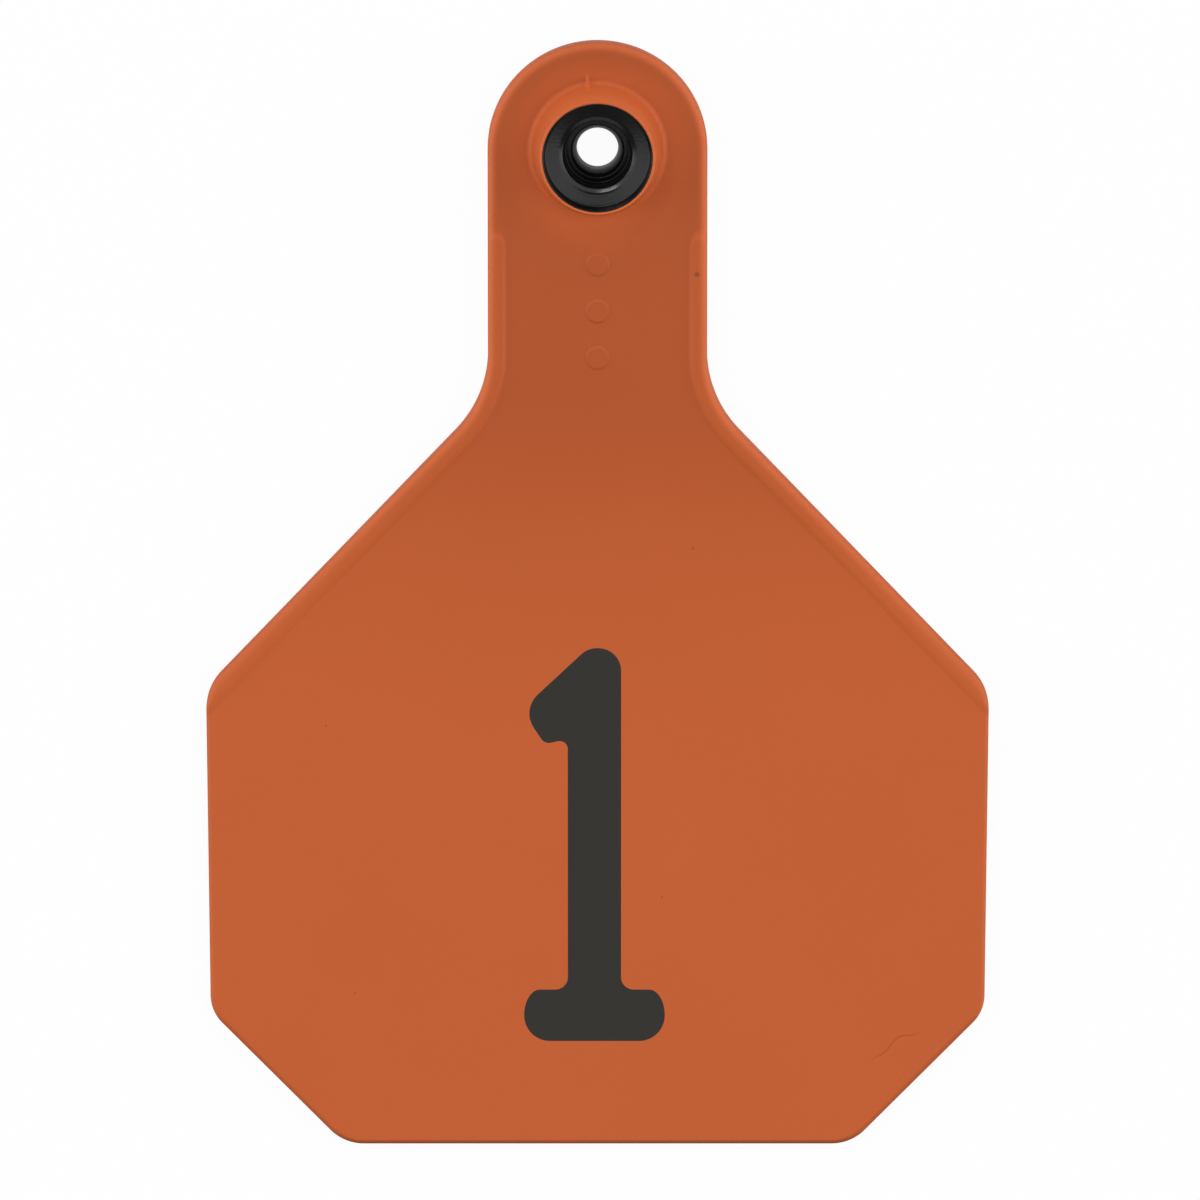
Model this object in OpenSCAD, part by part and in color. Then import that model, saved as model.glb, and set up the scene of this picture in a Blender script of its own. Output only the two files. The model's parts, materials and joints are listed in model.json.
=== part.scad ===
// Livestock ear tag, the panel half with a hard locking insert and a printed numeral.
// It lies on its back: the back face is z = 0, the hub axis is the z axis, +Y runs to the head's top.

/* [Outline] */
// Radius of the round head, which is also half the neck's width
head_r = 10.6; // [9.5:0.1:13]
// How far the head arc's centre lies below the hub axis
head_drop = 0.2; // [0:0.1:1]
// From the hub axis down to the point where neck side and shoulder would meet
neck_len = 24.6; // [22:0.1:40]
// Angle between each shoulder and the tag's long axis
shoulder_angle = 43.5; // [35:0.5:60]
// Radius of the hollow fillet between neck and shoulder
shoulder_fillet_r = 11.4; // [6:0.1:16]
// Width across the shoulder corners
panel_w = 76.2; // [60:0.1:90]
// Width across the foot corners
panel_foot_w = 75.7; // [60:0.1:90]
// Length of the panel's sides, from shoulder corner to foot corner
side_len = 32.5; // [20:0.5:50]
// Width cut off each foot corner
foot_cut_w = 13; // [8:0.1:18]
// Height cut off each foot corner
foot_cut_h = 13.4; // [8:0.1:18]
// Rounding of the shoulder corners
shoulder_corner_r = 5.4; // [3.5:0.1:9]
// Rounding where the sides meet the foot cuts
side_corner_r = 4; // [3.5:0.1:8]
// Rounding where the foot cuts meet the bottom edge
foot_corner_r = 4.5; // [3.5:0.1:8]

/* [Thickness] */
// Thickness of the head and neck
neck_t = 2.2; // [1.8:0.1:3]
// Thickness of the panel
panel_t = 1.4; // [1.1:0.1:1.8]
// From the hub axis down to where the neck starts to thin out
taper_start = 21; // [15:0.5:30]
// Length over which the neck thins out to the panel
taper_len = 22; // [10:0.5:30]
// Rounding of the front edge round the head, neck and shoulders
edge_r = 0.9; // [0.4:0.1:1]
// Rounding of the front edge round the panel's sides and foot
panel_edge_r = 0.45; // [0.2:0.05:0.8]
// Rounding of the back edge all round
back_edge_r = 0.25; // [0.1:0.05:0.3]

/* [Edge band] */
// Width of the raised band along the neck and shoulder edges
band_w = 1.6; // [1.2:0.1:2.2]
// How far the band stands above the face
band_h = 0.18; // [0.1:0.02:0.4]
// Width of the band's soft inner slope
band_slope = 0.9; // [0.4:0.1:1.2]
// From the hub axis down to the band's upper end
band_start = 7.7; // [5:0.1:12]
// Length over which the band rises at its upper end
band_rise = 2.1; // [1:0.1:4]

/* [Hub] */
// Radius of the boss where it leaves the face
boss_base_r = 6.4; // [6:0.1:8]
// Radius of the boss at its rim
boss_rim_r = 5.55; // [5.45:0.05:5.9]
// Height of the boss rim above the back face
hub_h = 6.5; // [5.5:0.1:8]
// Radius of the soft fillet at the foot of the boss
boss_fillet_r = 0.8; // [0.3:0.1:1.2]
// Radius of the lip round the boss rim
lip_r = 0.12; // [0.05:0.01:0.2]
// Thickness of the floor that carries the insert
seat_floor_t = 1; // [0.6:0.1:1.6]
// Radial gap between the insert and its seat
seat_gap = 0.02; // [0:0.01:0.1]

/* [Insert] */
// Outer radius of the insert
insert_r = 5.3; // [5:0.05:5.35]
// Outer radius of the insert's nose, which passes through the floor
nose_r = 3; // [2.7:0.1:3.6]
// Radius of the stud hole
stud_hole_r = 2; // [1.6:0.05:2.4]
// Length of the stud hole's straight wall
stud_hole_len = 1; // [0.6:0.1:1.6]
// How far the insert's rim lies below the boss rim
rim_set = 0.05; // [0:0.01:0.3]
// How far the outer edge of the insert's face lies below its rim
face_depth = 1.4; // [0.6:0.1:2]
// Angle at which the face falls towards the mouth
face_dish = 8; // [0:1:10]
// Thickness of the insert's rim at its top
rim_t = 0.1; // [0.08:0.02:0.3]
// Angle at which the rim's inner wall leans out
rim_draft = 6; // [0:1:10]
// Radius of the mouth in the insert's face
mouth_r = 3.35; // [3.2:0.05:3.8]
// Rounding of the mouth's edge
mouth_edge_r = 0.3; // [0.1:0.05:0.5]
// Depth of the mouth, from its edge down to the ledge
mouth_depth = 1.1; // [0.6:0.05:1.3]
// Width of the ledge at the foot of the mouth's wall
ledge_w = 0.2; // [0.1:0.02:0.3]
// Radius of the stud hole's rounded entry
flare_r = 2.9; // [1.5:0.1:3.2]
// Angle through which the entry turns outwards
flare_turn = 37; // [25:1:38]
// Angle at which the well's floor falls away from the entry
floor_fall = 4.5; // [0:0.5:10]

/* [Neck pips] */
// Number of raised pips down the middle of the neck
pip_count = 3; // [1:1:4]
// Radius of each pip
pip_r = 1.1; // [0.5:0.1:2]
// Height of each pip above the face
pip_h = 0.1; // [0.05:0.01:0.3]
// Distance between the pips
pip_pitch = 4.6; // [3:0.1:5]
// From the hub axis down to the first pip
pip_start = 11.3; // [10:0.1:14]

/* [Numeral] */
// Height of the numeral
number_h = 39.5; // [20:0.5:40]
// Width of its stem
stem_w = 5.2; // [4:0.1:8]
// Width of the serif at its foot
serif_w = 14.2; // [11:0.1:20]
// Height of the serif
serif_h = 5.2; // [4.5:0.1:8]
// How far the flag reaches out from the stem
flag_reach = 4.5; // [3.5:0.1:7]
// From the numeral's top down to the flag's underside
flag_drop = 9.6; // [8.5:0.1:14]
// Slope of the flag's upper edge
flag_angle = 43.5; // [35:0.5:48]
// From the panel's bottom edge up to the numeral's foot
number_up = 10.5; // [4:0.5:20]
// How far the numeral stands to the left of the middle
number_left = 0.3; // [0:0.1:5]
// Depth of the ink in the face
ink_t = 0.12; // [0.05:0.01:0.3]

/* [Hidden] */
$fn = 96;

overlap = 0.5;        // how far cutting tools reach past a face
head_steps = 14;      // straight steps round a quarter of the head
fillet_steps = 7;     // steps round the hollow fillet
corner_steps = 5;     // steps round each corner
neck_steps = 5;       // steps down the straight neck
shoulder_steps = 7;   // steps along each shoulder
run_steps = 3;        // steps down each side where the band runs out
edge_steps = 5;       // steps round the front edge
back_steps = 2;       // steps round the back edge
slope_steps = 2;      // steps down the band's slope
ring_gap = 0.05;      // least distance between the rings of points over the slope
number_steps = 8;     // steps round each corner of the numeral
soft_steps = 4;       // steps round the fillets that are revolved

shoulder_y = -neck_len - (panel_w / 2 - head_r) / tan(shoulder_angle);
foot_y = shoulder_y - side_len;
bottom_y = foot_y - foot_cut_h;
band_full = band_start + band_rise;

function unit(angle) = [cos(angle), sin(angle)];
function heading(a, b) = atan2(b[1] - a[1], b[0] - a[0]);
function wrapped(angle) = angle > 180 ? angle - 360 : angle < -180 ? angle + 360 : angle;

// Points and outward normals round the corner at b, on a path that runs clockwise a, b, c
function corner(a, b, c, r, steps) =
    let (first = heading(a, b) + 90,
         turn = wrapped(heading(b, c) - heading(a, b)),
         side = turn < 0 ? 1 : -1,
         centre = b - side * r / cos(turn / 2) * unit(first + turn / 2))
    [for (k = [0:steps])
        let (angle = first + turn * k / steps)
        [centre + side * r * unit(angle), unit(angle)]];

// Stations strictly between two others on one straight edge
function between(a, b, steps) =
    [for (k = [1:steps - 1]) [a[0] + (b[0] - a[0]) * k / steps, a[1]]];

// The half outline on the right, from the head's top down to the bottom edge. A station is
// [point, outward normal, band weight, front edge radius, insets where the band's slope starts and ends].
neck_top = [head_r, -head_drop];
neck_end = [head_r, -neck_len];
shoulder_end = [panel_w / 2, shoulder_y];
side_end = [panel_foot_w / 2, foot_y];
foot_end = [panel_foot_w / 2 - foot_cut_w, bottom_y];
foot_middle = [0, bottom_y];

head_arc = [for (k = [0:head_steps])
    let (n = unit(90 - 90 * k / head_steps)) [[0, -head_drop] + head_r * n, n]];
neck_fillet = corner(neck_top, neck_end, shoulder_end, shoulder_fillet_r, fillet_steps);
shoulder_corner = corner(neck_end, shoulder_end, side_end, shoulder_corner_r, corner_steps);
side_corner = corner(shoulder_end, side_end, foot_end, side_corner_r, corner_steps);
foot_corner = corner(side_end, foot_end, foot_middle, foot_corner_r, corner_steps);
band_tip = [[head_r, -band_start], [1, 0]];
band_top = [[head_r, -band_full], [1, 0]];
band_slope_at = [band_w, band_w + band_slope];

// The band's slope runs straight on past the shoulder corner and out at the side
shoulder_out = shoulder_corner[0][1];
corner_end = shoulder_corner[corner_steps];
side_run = unit(heading(shoulder_end, side_end));
run_len = max((band_w + band_slope) / -(side_run * shoulder_out), norm(corner_end[0] - shoulder_end) + 1);
run_end = [shoulder_end + run_len * side_run, corner_end[1]];

function slope_past_corner(s) =
    let (below = (shoulder_end - s[0]) * shoulder_out, lean = s[1] * shoulder_out)
    [for (inset = band_slope_at) (inset - below) / lean];

function banded(stations, weight) = [for (s = stations) [s[0], s[1], weight, edge_r, band_slope_at]];
function plain(stations) = [for (s = stations) [s[0], s[1], 0, panel_edge_r, band_slope_at]];

half_outline = concat(
    banded(head_arc, 0),
    banded([band_tip], 0),
    banded(between(band_tip, band_top, 2), 0.8),
    banded([band_top], 1),
    banded(between(band_top, neck_fillet[0], neck_steps), 1),
    banded(neck_fillet, 1),
    banded(between(neck_fillet[fillet_steps], shoulder_corner[0], shoulder_steps), 1),
    [for (k = [0:corner_steps])
        let (s = shoulder_corner[k], r = edge_r + (panel_edge_r - edge_r) * k / corner_steps)
        [s[0], s[1], 1, r, slope_past_corner(s)]],
    [for (s = concat(between(corner_end, run_end, run_steps), [run_end]))
        [s[0], s[1], 1, panel_edge_r, slope_past_corner(s)]],
    plain(side_corner),
    plain(foot_corner));

last = len(half_outline) - 1;
function mirrored(s) = [[-s[0][0], s[0][1]], [-s[1][0], s[1][1]], s[2], s[3], s[4]];
outline = concat(half_outline, [for (k = [last:-1:1]) mirrored(half_outline[k])]);
count = len(outline);

// Height of the front face, which falls from the neck to the panel in a smooth wave
function face_z(y) =
    let (k = min(1, max(0, (-y - taper_start) / taper_len)))
    panel_t + (neck_t - panel_t) * (1 + cos(180 * k)) / 2;

// Height of the band over the face, by the inset from the edge
function lift(s, inset) =
    let (part = (inset - s[4][0]) / (s[4][1] - s[4][0]))
    band_h * s[2] * (1 - min(1, max(0, part)));

// One cross-section of the edge, from the back face to the face: [inset, base, height],
// where the base is 0 for heights above the back and 1 for heights above the front face
function section(s) = concat(
    [for (k = [0:back_steps])
        let (a = 90 * k / back_steps)
        [back_edge_r * (1 - sin(a)), 0, back_edge_r * (1 - cos(a))]],
    [for (k = [0:edge_steps])
        let (a = 90 * k / edge_steps, inset = s[3] * (1 - cos(a)))
        [inset, 1, lift(s, inset) - s[3] * (1 - sin(a))]],
    [for (k = [0:slope_steps])
        let (wanted = s[4][0] + (s[4][1] - s[4][0]) * k / slope_steps,
             inset = max(wanted, s[3] + ring_gap * (k + 1)))
        [inset, 1, lift(s, inset)]]);

function placed(station, s) =
    let (p = station[0] - s[0] * station[1])
    [p[0], p[1], s[1] * face_z(p[1]) + s[2]];

rings = back_steps + edge_steps + slope_steps + 3;
sections = [for (s = outline) section(s)];
skin_points = [for (j = [0:rings - 1]) for (i = [0:count - 1]) placed(outline[i], sections[i][j])];

// Strips across the tag between right and left stations, which close the skin at one ring
function right_of(ring, k) = ring * count + k;
function left_of(ring, k) = ring * count + (k == 0 ? 0 : count - k);
function strips(ring) = [for (k = [0:last - 1])
    let (a = right_of(ring, k), b = right_of(ring, k + 1), c = left_of(ring, k + 1), d = left_of(ring, k))
    k == 0 ? [a, b, c] : [a, b, c, d]];
function turned(faces) = [for (f = faces) [for (k = [len(f) - 1:-1:0]) f[k]]];

wall_faces = [for (j = [0:rings - 2]) for (i = [0:count - 1])
    let (a = j * count + i, b = j * count + (i + 1) % count)
    each [[a, b, a + count], [b, b + count, a + count]]];

// The moulded sheet with its rounded edge, edge band and thinner panel
module sheet() {
    polyhedron(points = skin_points,
               faces = concat(turned(strips(0)), wall_faces, strips(rings - 1)));
}

// Quarter-round points between two radii, used by the revolved profiles
function bend(centre, r, from, to) =
    [for (k = [0:soft_steps]) centre + r * unit(from + (to - from) * k / soft_steps)];

boss_draft = atan((boss_base_r - boss_rim_r) / (hub_h - neck_t));

module boss() {
    fillet_centre = [boss_base_r + boss_fillet_r, neck_t + boss_fillet_r];
    rotate_extrude()
        polygon(concat(
            [[0, seat_floor_t], [boss_base_r + boss_fillet_r, seat_floor_t]],
            [[boss_base_r + boss_fillet_r, neck_t]],
            bend(fillet_centre, boss_fillet_r, 262, 180 + boss_draft),
            bend([boss_rim_r - lip_r, hub_h - lip_r], lip_r, boss_draft, 90),
            [[0, hub_h]]));
}

// The hollow that the insert fills, wider than it all round by the gap
module seat() {
    translate([0, 0, -overlap])
        cylinder(r = nose_r + seat_gap, h = seat_floor_t + 2 * overlap);
    translate([0, 0, seat_floor_t])
        cylinder(r = insert_r + seat_gap, h = hub_h);
}

module pips() {
    for (k = [0:pip_count - 1])
        translate([0, -pip_start - k * pip_pitch, neck_t - pip_h])
            cylinder(r1 = pip_r + pip_h, r2 = pip_r - pip_h, h = 2 * pip_h);
}

// The numeral's outline, drawn clockwise about the middle of its foot, as [x, y, corner radius]
stem_side = stem_w / 2;
top_r = 2.25;         // rounding over the numeral's top
top_flat = 0.08;      // short straight between its two roundings
serif_inset = 1.2;    // how far the serif's upper and lower corners lie inside its widest points
serif_mid = 0.56;     // height of the serif's widest points, as a part of the serif
serif_fillet_r = 1.25;
apex_x = stem_side - top_r * (1 + tan(flag_angle / 2)) - top_flat;
flag_x = -stem_side - flag_reach;
flag_tip_y = number_h - (apex_x - flag_x) * tan(flag_angle);
flag_low_x = flag_x + flag_reach / 2;
flag_low_y = number_h - flag_drop;

number_points = [
    [apex_x, number_h, top_r],
    [stem_side, number_h, top_r],
    [stem_side, serif_h, serif_fillet_r],
    [serif_w / 2 - serif_inset, serif_h, 0.8],
    [serif_w / 2, serif_h * serif_mid, 2.1],
    [serif_w / 2 - serif_inset, 0, 1.7],
    [-serif_w / 2 + serif_inset, 0, 1.7],
    [-serif_w / 2, serif_h * serif_mid, 2.1],
    [-serif_w / 2 + serif_inset, serif_h, 0.8],
    [-stem_side, serif_h, serif_fillet_r],
    [-stem_side, flag_low_y + 0.5, 0.8],
    [flag_low_x, flag_low_y, 0.9],
    [flag_x, flag_tip_y, 2.6]];

function rounded(points, steps) = [for (i = [0:len(points) - 1])
    let (n = len(points), a = points[(i + n - 1) % n], b = points[i], c = points[(i + 1) % n])
    for (s = corner([a[0], a[1]], [b[0], b[1]], [c[0], c[1]], b[2], steps)) s[0]];

module numeral(depth) {
    translate([-number_left, bottom_y + number_up, panel_t - ink_t])
        linear_extrude(depth)
            polygon(rounded(number_points, number_steps));
}

module tag_panel() {
    color("#c36137")
        difference() {
            union() {
                sheet();
                boss();
                pips();
            }
            seat();
            numeral(ink_t + overlap);
        }
}

// Heights in the insert, from its rim down
face_corner_r = 0.15;
rim_z = hub_h - rim_set;
face_outer_z = rim_z - face_depth;
face_corner_z = face_outer_z + face_corner_r;
face_corner = [insert_r - rim_t - (rim_z - face_corner_z) * tan(rim_draft) - face_corner_r / cos(rim_draft),
               face_corner_z];
// The dished face touches the rounding in its outer corner and the one on the mouth's edge
mouth_edge_x = mouth_r + mouth_edge_r;
mouth_edge_z = face_corner[1] - (face_corner_r + mouth_edge_r) / cos(face_dish)
             - (face_corner[0] - mouth_edge_x) * tan(face_dish);
ledge_z = mouth_edge_z + mouth_edge_r - mouth_depth;
// The well's floor runs from the entry's upper edge out to the well's wall
well_r = mouth_r - ledge_w;
entry_x = stud_hole_r + flare_r * (1 - cos(flare_turn));
well_z = stud_hole_len + flare_r * sin(flare_turn) - (well_r - entry_x) * tan(floor_fall);

module lock_insert() {
    color("#2b2a29")
        rotate_extrude()
            polygon(concat(
                [[stud_hole_r, 0], [nose_r, 0], [nose_r, seat_floor_t], [insert_r, seat_floor_t]],
                [[insert_r, rim_z], [insert_r - rim_t, rim_z]],
                bend(face_corner, face_corner_r, -rim_draft, face_dish - 90),
                bend([mouth_edge_x, mouth_edge_z], mouth_edge_r, 90 + face_dish, 180),
                [[mouth_r, ledge_z], [well_r, ledge_z], [well_r, well_z]],
                bend([stud_hole_r + flare_r, stud_hole_len], flare_r, 180 - flare_turn, 180)));
}

module printed_number() {
    color("#343330")
        numeral(ink_t);
}

tag_panel();
lock_insert();
printed_number();
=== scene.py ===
import json
import math

import bmesh
import bpy
import numpy as np
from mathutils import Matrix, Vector, kdtree
from mathutils.geometry import delaunay_2d_cdt


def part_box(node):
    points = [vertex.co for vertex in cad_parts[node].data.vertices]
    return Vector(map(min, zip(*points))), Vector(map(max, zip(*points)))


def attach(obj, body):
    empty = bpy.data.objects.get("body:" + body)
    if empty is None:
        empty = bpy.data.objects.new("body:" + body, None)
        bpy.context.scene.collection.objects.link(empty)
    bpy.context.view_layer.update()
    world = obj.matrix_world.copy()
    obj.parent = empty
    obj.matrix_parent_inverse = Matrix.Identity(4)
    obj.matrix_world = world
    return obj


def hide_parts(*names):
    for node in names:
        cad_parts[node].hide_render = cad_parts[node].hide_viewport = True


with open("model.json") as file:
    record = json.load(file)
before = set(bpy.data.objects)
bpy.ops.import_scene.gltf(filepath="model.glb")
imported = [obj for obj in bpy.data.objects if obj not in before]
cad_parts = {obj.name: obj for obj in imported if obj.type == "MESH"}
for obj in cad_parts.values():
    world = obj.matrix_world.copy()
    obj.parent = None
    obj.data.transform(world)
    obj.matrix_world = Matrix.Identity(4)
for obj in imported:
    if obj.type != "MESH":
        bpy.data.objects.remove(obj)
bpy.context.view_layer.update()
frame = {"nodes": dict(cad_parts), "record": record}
print("stage 1: frame loaded")

mm = 0.001  # every length below is in millimetres, and meshes are made in metres


def cornersInMm(node):
    low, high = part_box(node)
    return low / mm, high / mm


panelLow, panelHigh = cornersInMm("tag_panel")
insertHigh = cornersInMm("lock_insert")[1]
numberLow, numberHigh = cornersInMm("printed_number")
mounts = {mount["name"]: mount for mount in frame["record"]["mounts"]}
studHole = mounts["stud_bore"]["dims"]
studHoleR = studHole["r_mm"]
studHoleLen = studHole["length_mm"]


def unit(angle):
    return Vector((math.cos(angle), math.sin(angle)))


def fullTurn(count):
    return [math.tau * k / count for k in range(count)]


def smooth(value):
    value = min(1, max(0, value))
    return value * value * (3 - 2 * value)


def fall(value, start, end):
    # 1 before start, 0 after end, a half wave between
    part = min(1, max(0, (value - start) / (end - start)))
    return (1 + math.cos(math.pi * part)) / 2


def bump(x, y, centre, spreadX, spreadY):
    return math.exp(-((x - centre[0]) / spreadX) ** 2 - ((y - centre[1]) / spreadY) ** 2)


def paint(red, green, blue):
    # a colour as seen on screen, 0 to 255, as the shader's linear values
    def linear(value):
        value /= 255
        return value / 12.92 if value <= 0.04045 else ((value + 0.055) / 1.055) ** 2.4
    return linear(red), linear(green), linear(blue), 1


def feed(tree, socket, value):
    # a socket takes either a value of its own or another node's output
    if isinstance(value, bpy.types.NodeSocket):
        tree.links.new(value, socket)
    else:
        socket.default_value = value


def noiseNode(tree, vector, scale, detail, roughness=0.5):
    node = tree.nodes.new("ShaderNodeTexNoise")
    node.inputs["Detail"].default_value = detail
    node.inputs["Roughness"].default_value = roughness
    tree.links.new(scale, node.inputs["Scale"])
    tree.links.new(vector, node.inputs["Vector"])
    return node.outputs["Fac"]


def mathNode(tree, operation, a, b=0.0, c=0.0):
    node = tree.nodes.new("ShaderNodeMath")
    node.operation = operation
    for socket, value in zip(node.inputs, (a, b, c)):
        feed(tree, socket, value)
    return node.outputs[0]


def vectorNode(tree, operation, vector, other):
    node = tree.nodes.new("ShaderNodeVectorMath")
    node.operation = operation
    node.inputs[1].default_value = other
    tree.links.new(vector, node.inputs[0])
    return node.outputs["Value" if operation == "DISTANCE" else "Vector"]


def rangeNode(tree, value, low, high, atLow, atHigh):
    # a smooth change from one value to another
    node = tree.nodes.new("ShaderNodeMapRange")
    node.interpolation_type = "SMOOTHSTEP"
    tree.links.new(value, node.inputs["Value"])
    for label, limit in (("From Min", low), ("From Max", high), ("To Min", atLow), ("To Max", atHigh)):
        node.inputs[label].default_value = limit
    return node.outputs["Result"]


def addObject(name, data):
    thing = bpy.data.objects.new(name, data)
    bpy.context.scene.collection.objects.link(thing)
    return thing


# the camera, the floor and the lamps


cameraView = {
    "aim": (0.24, -44.99, 0.07),
    "tilt": 13,           # degrees from straight down, towards the head
    "distance": 1300,
    "widthSeen": 116.68,
    "sensor": 36,
    "clipFrom": 10,
    "clipTo": 50000,
}

studio = {
    "floorSize": 6000,
    "floorDrop": 0.02,    # the floor lies this far below the back face
    "floorWhite": 0.9,
    "floorGlow": 0.95,    # share of the floor that shows as plain white
    "floorGloss": 0.1,    # the same for what glossy surfaces reflect
    "skyBright": 1.4,
    "skyDim": 0.12,
    "skyLow": 0.75,       # near the floor, on the foot's side
    "skyGloss": 0.05,     # share of plain white that glossy surfaces reflect
    "dimFrom": -0.2,      # how far a direction leans to the foot before the sky dims
    "dimTo": -0.4,
    "dimSkew": 0.06,      # and how much further down it stays bright on the right
    "lowFrom": -0.6,      # and where it is light again, low over the floor
    "lowTo": -0.85,
    "sideBoost": 1.8,     # extra light from low on both sides
    "sideFrom": 0.72,
    "sideTo": 0.92,
    "shadeLean": 0.36,    # a dark shade overhead, leaning this far towards the head
    "shadeSize": 0.24,
    "shadeSoft": 0.035,
    "shadeSquash": 0.7,   # under 1 for a shade that is wider from side to side
    "shadeDim": 0.03,     # how bright the sky is behind it
    "lampDistance": 1500,
}

# soft lamps: degrees from straight up, degrees round from the head's side to the left, size, power
lamps = {
    "headLamp": {"tilt": 42, "turn": 22, "wide": 600, "high": 160, "power": 2.3},
}


def buildCamera():
    view = cameraView
    data = bpy.data.cameras.new("mainCamera")
    camera = addObject("mainCamera", data)
    tilt = math.radians(view["tilt"])
    away = Vector((0, math.sin(tilt), math.cos(tilt)))
    camera.location = (Vector(view["aim"]) + view["distance"] * away) * mm
    camera.rotation_euler = (-tilt, 0, 0)
    data.sensor_width = view["sensor"]
    data.lens = view["sensor"] * view["distance"] / view["widthSeen"]
    data.clip_start = view["clipFrom"] * mm
    data.clip_end = view["clipTo"] * mm
    bpy.context.scene.camera = camera


def whiteShare(tree, plain, glossy):
    # how much of the plain white background each kind of ray sees
    path = tree.nodes.new("ShaderNodeLightPath")
    seen = mathNode(tree, "MAXIMUM", path.outputs["Is Camera Ray"], path.outputs["Is Transmission Ray"])
    direct = mathNode(tree, "MULTIPLY", seen, plain)
    mirrored = mathNode(tree, "MULTIPLY", path.outputs["Is Glossy Ray"], glossy)
    return mathNode(tree, "MAXIMUM", direct, mirrored)


def mixWhite(tree, share, lit, plain, out):
    mix = tree.nodes.new("ShaderNodeMixShader")
    tree.links.new(share, mix.inputs[0])
    tree.links.new(lit.outputs[0], mix.inputs[1])
    tree.links.new(plain.outputs[0], mix.inputs[2])
    tree.links.new(mix.outputs[0], out.inputs["Surface"])


def buildFloor():
    half = studio["floorSize"] / 2 * mm
    z = -studio["floorDrop"] * mm
    mesh = bpy.data.meshes.new("paleFloor")
    corners = [(-half, -half, z), (half, -half, z), (half, half, z), (-half, half, z)]
    mesh.from_pydata(corners, [], [(0, 1, 2, 3)])
    floor = addObject("paleFloor", mesh)
    material = bpy.data.materials.new("paleFloorPaper")
    material.use_nodes = True
    tree = material.node_tree
    tree.nodes.clear()
    lit = tree.nodes.new("ShaderNodeBsdfDiffuse")
    lit.inputs["Color"].default_value = (studio["floorWhite"],) * 3 + (1,)
    plain = tree.nodes.new("ShaderNodeEmission")
    out = tree.nodes.new("ShaderNodeOutputMaterial")
    mixWhite(tree, whiteShare(tree, studio["floorGlow"], studio["floorGloss"]), lit, plain, out)
    mesh.materials.append(material)


def buildSky():
    # a pale sky, dimmer towards the tag's foot to shape the edges and brighter low at both sides,
    # with a dark shade overhead that keeps the insert's well black
    world = bpy.data.worlds.new("softStudio")
    bpy.context.scene.world = world
    world.use_nodes = True
    tree = world.node_tree
    tree.nodes.clear()
    where = tree.nodes.new("ShaderNodeTexCoord").outputs["Generated"]
    split = tree.nodes.new("ShaderNodeSeparateXYZ")
    tree.links.new(where, split.inputs[0])
    skewed = mathNode(tree, "MULTIPLY_ADD", split.outputs["X"], studio["dimSkew"], split.outputs["Y"])
    high = rangeNode(tree, skewed, studio["dimTo"], studio["dimFrom"], studio["skyDim"], studio["skyBright"])
    low = rangeNode(tree, split.outputs["Y"], studio["lowTo"], studio["lowFrom"], studio["skyLow"], 0)
    level = mathNode(tree, "MAXIMUM", high, low)
    aside = mathNode(tree, "ABSOLUTE", split.outputs["X"])
    boost = rangeNode(tree, aside, studio["sideFrom"], studio["sideTo"], 1, 1 + studio["sideBoost"])
    squashed = vectorNode(tree, "MULTIPLY", where, (studio["shadeSquash"], 1, 0))
    away = vectorNode(tree, "DISTANCE", squashed, (0, studio["shadeLean"], 0))
    size, soft = studio["shadeSize"], studio["shadeSoft"]
    shade = rangeNode(tree, away, size - soft, size + soft, studio["shadeDim"], 1)
    sky = tree.nodes.new("ShaderNodeBackground")
    bright = mathNode(tree, "MULTIPLY", level, boost)
    tree.links.new(mathNode(tree, "MULTIPLY", bright, shade), sky.inputs["Strength"])
    plain = tree.nodes.new("ShaderNodeBackground")
    out = tree.nodes.new("ShaderNodeOutputWorld")
    mixWhite(tree, whiteShare(tree, 1, studio["skyGloss"]), sky, plain, out)


def buildLamp(name, values):
    tilt, turn = math.radians(values["tilt"]), math.radians(values["turn"])
    towards = Vector((-math.sin(tilt) * math.sin(turn), math.sin(tilt) * math.cos(turn), math.cos(tilt)))
    data = bpy.data.lights.new(name, "AREA")
    data.shape = "RECTANGLE"
    data.size = values["wide"] * mm
    data.size_y = values["high"] * mm
    data.energy = values["power"]
    lamp = addObject(name, data)
    lamp.location = (Vector(cameraView["aim"]) + studio["lampDistance"] * towards) * mm
    lamp.rotation_euler = towards.to_track_quat("Z", "Y").to_euler()
    lamp.visible_camera = False


buildCamera()
buildFloor()
buildSky()
for name, values in lamps.items():
    buildLamp(name, values)
bpy.context.scene.view_settings.view_transform = "Standard"
print("stage 2: camera, floor and lamps ready")


# the moulded tag, in millimetres about the hub's axis

tagOutline = {
    "headDrop": 0.2,      # the head arc's centre lies this far below the hub
    "neckLen": 24.6,
    "shoulderFilletR": 11.4,
    "shoulderWidth": 76.2,
    "footWidth": 75.7,
    "sideLen": 32.5,
    "footCutWidth": 13,
    "footCutHeight": 13.4,
    "shoulderCornerR": 5.4,
    "sideCornerR": 4,
    "footCornerR": 4.5,
}

tagThickness = {
    "neck": 2.2,
    "taperStart": 21,
    "taperLen": 22,
    "edgeR": 0.9,
    "panelEdgeR": 0.45,
    "backEdgeR": 0.25,
}

edgeBand = {
    "height": 0.18,
    "noseTop": 7.7,       # where the band starts below the hub
    "noseLen": 2.1,
    "noseInner": 0.35,    # how far in from the edge its nose starts
    "noseSlope": 0.25,
    "noseRise": 1.6,      # how much sooner than its length the nose reaches its full height
    "neckInner": 1.42,    # inset where the slope starts on the neck
    "neckSlope": 0.45,
    "shoulderInner": 1.35,
    "shoulderSlope": 0.72,
    "sideRun": 3,         # how far down the side the run-out has finer stations
}

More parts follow.
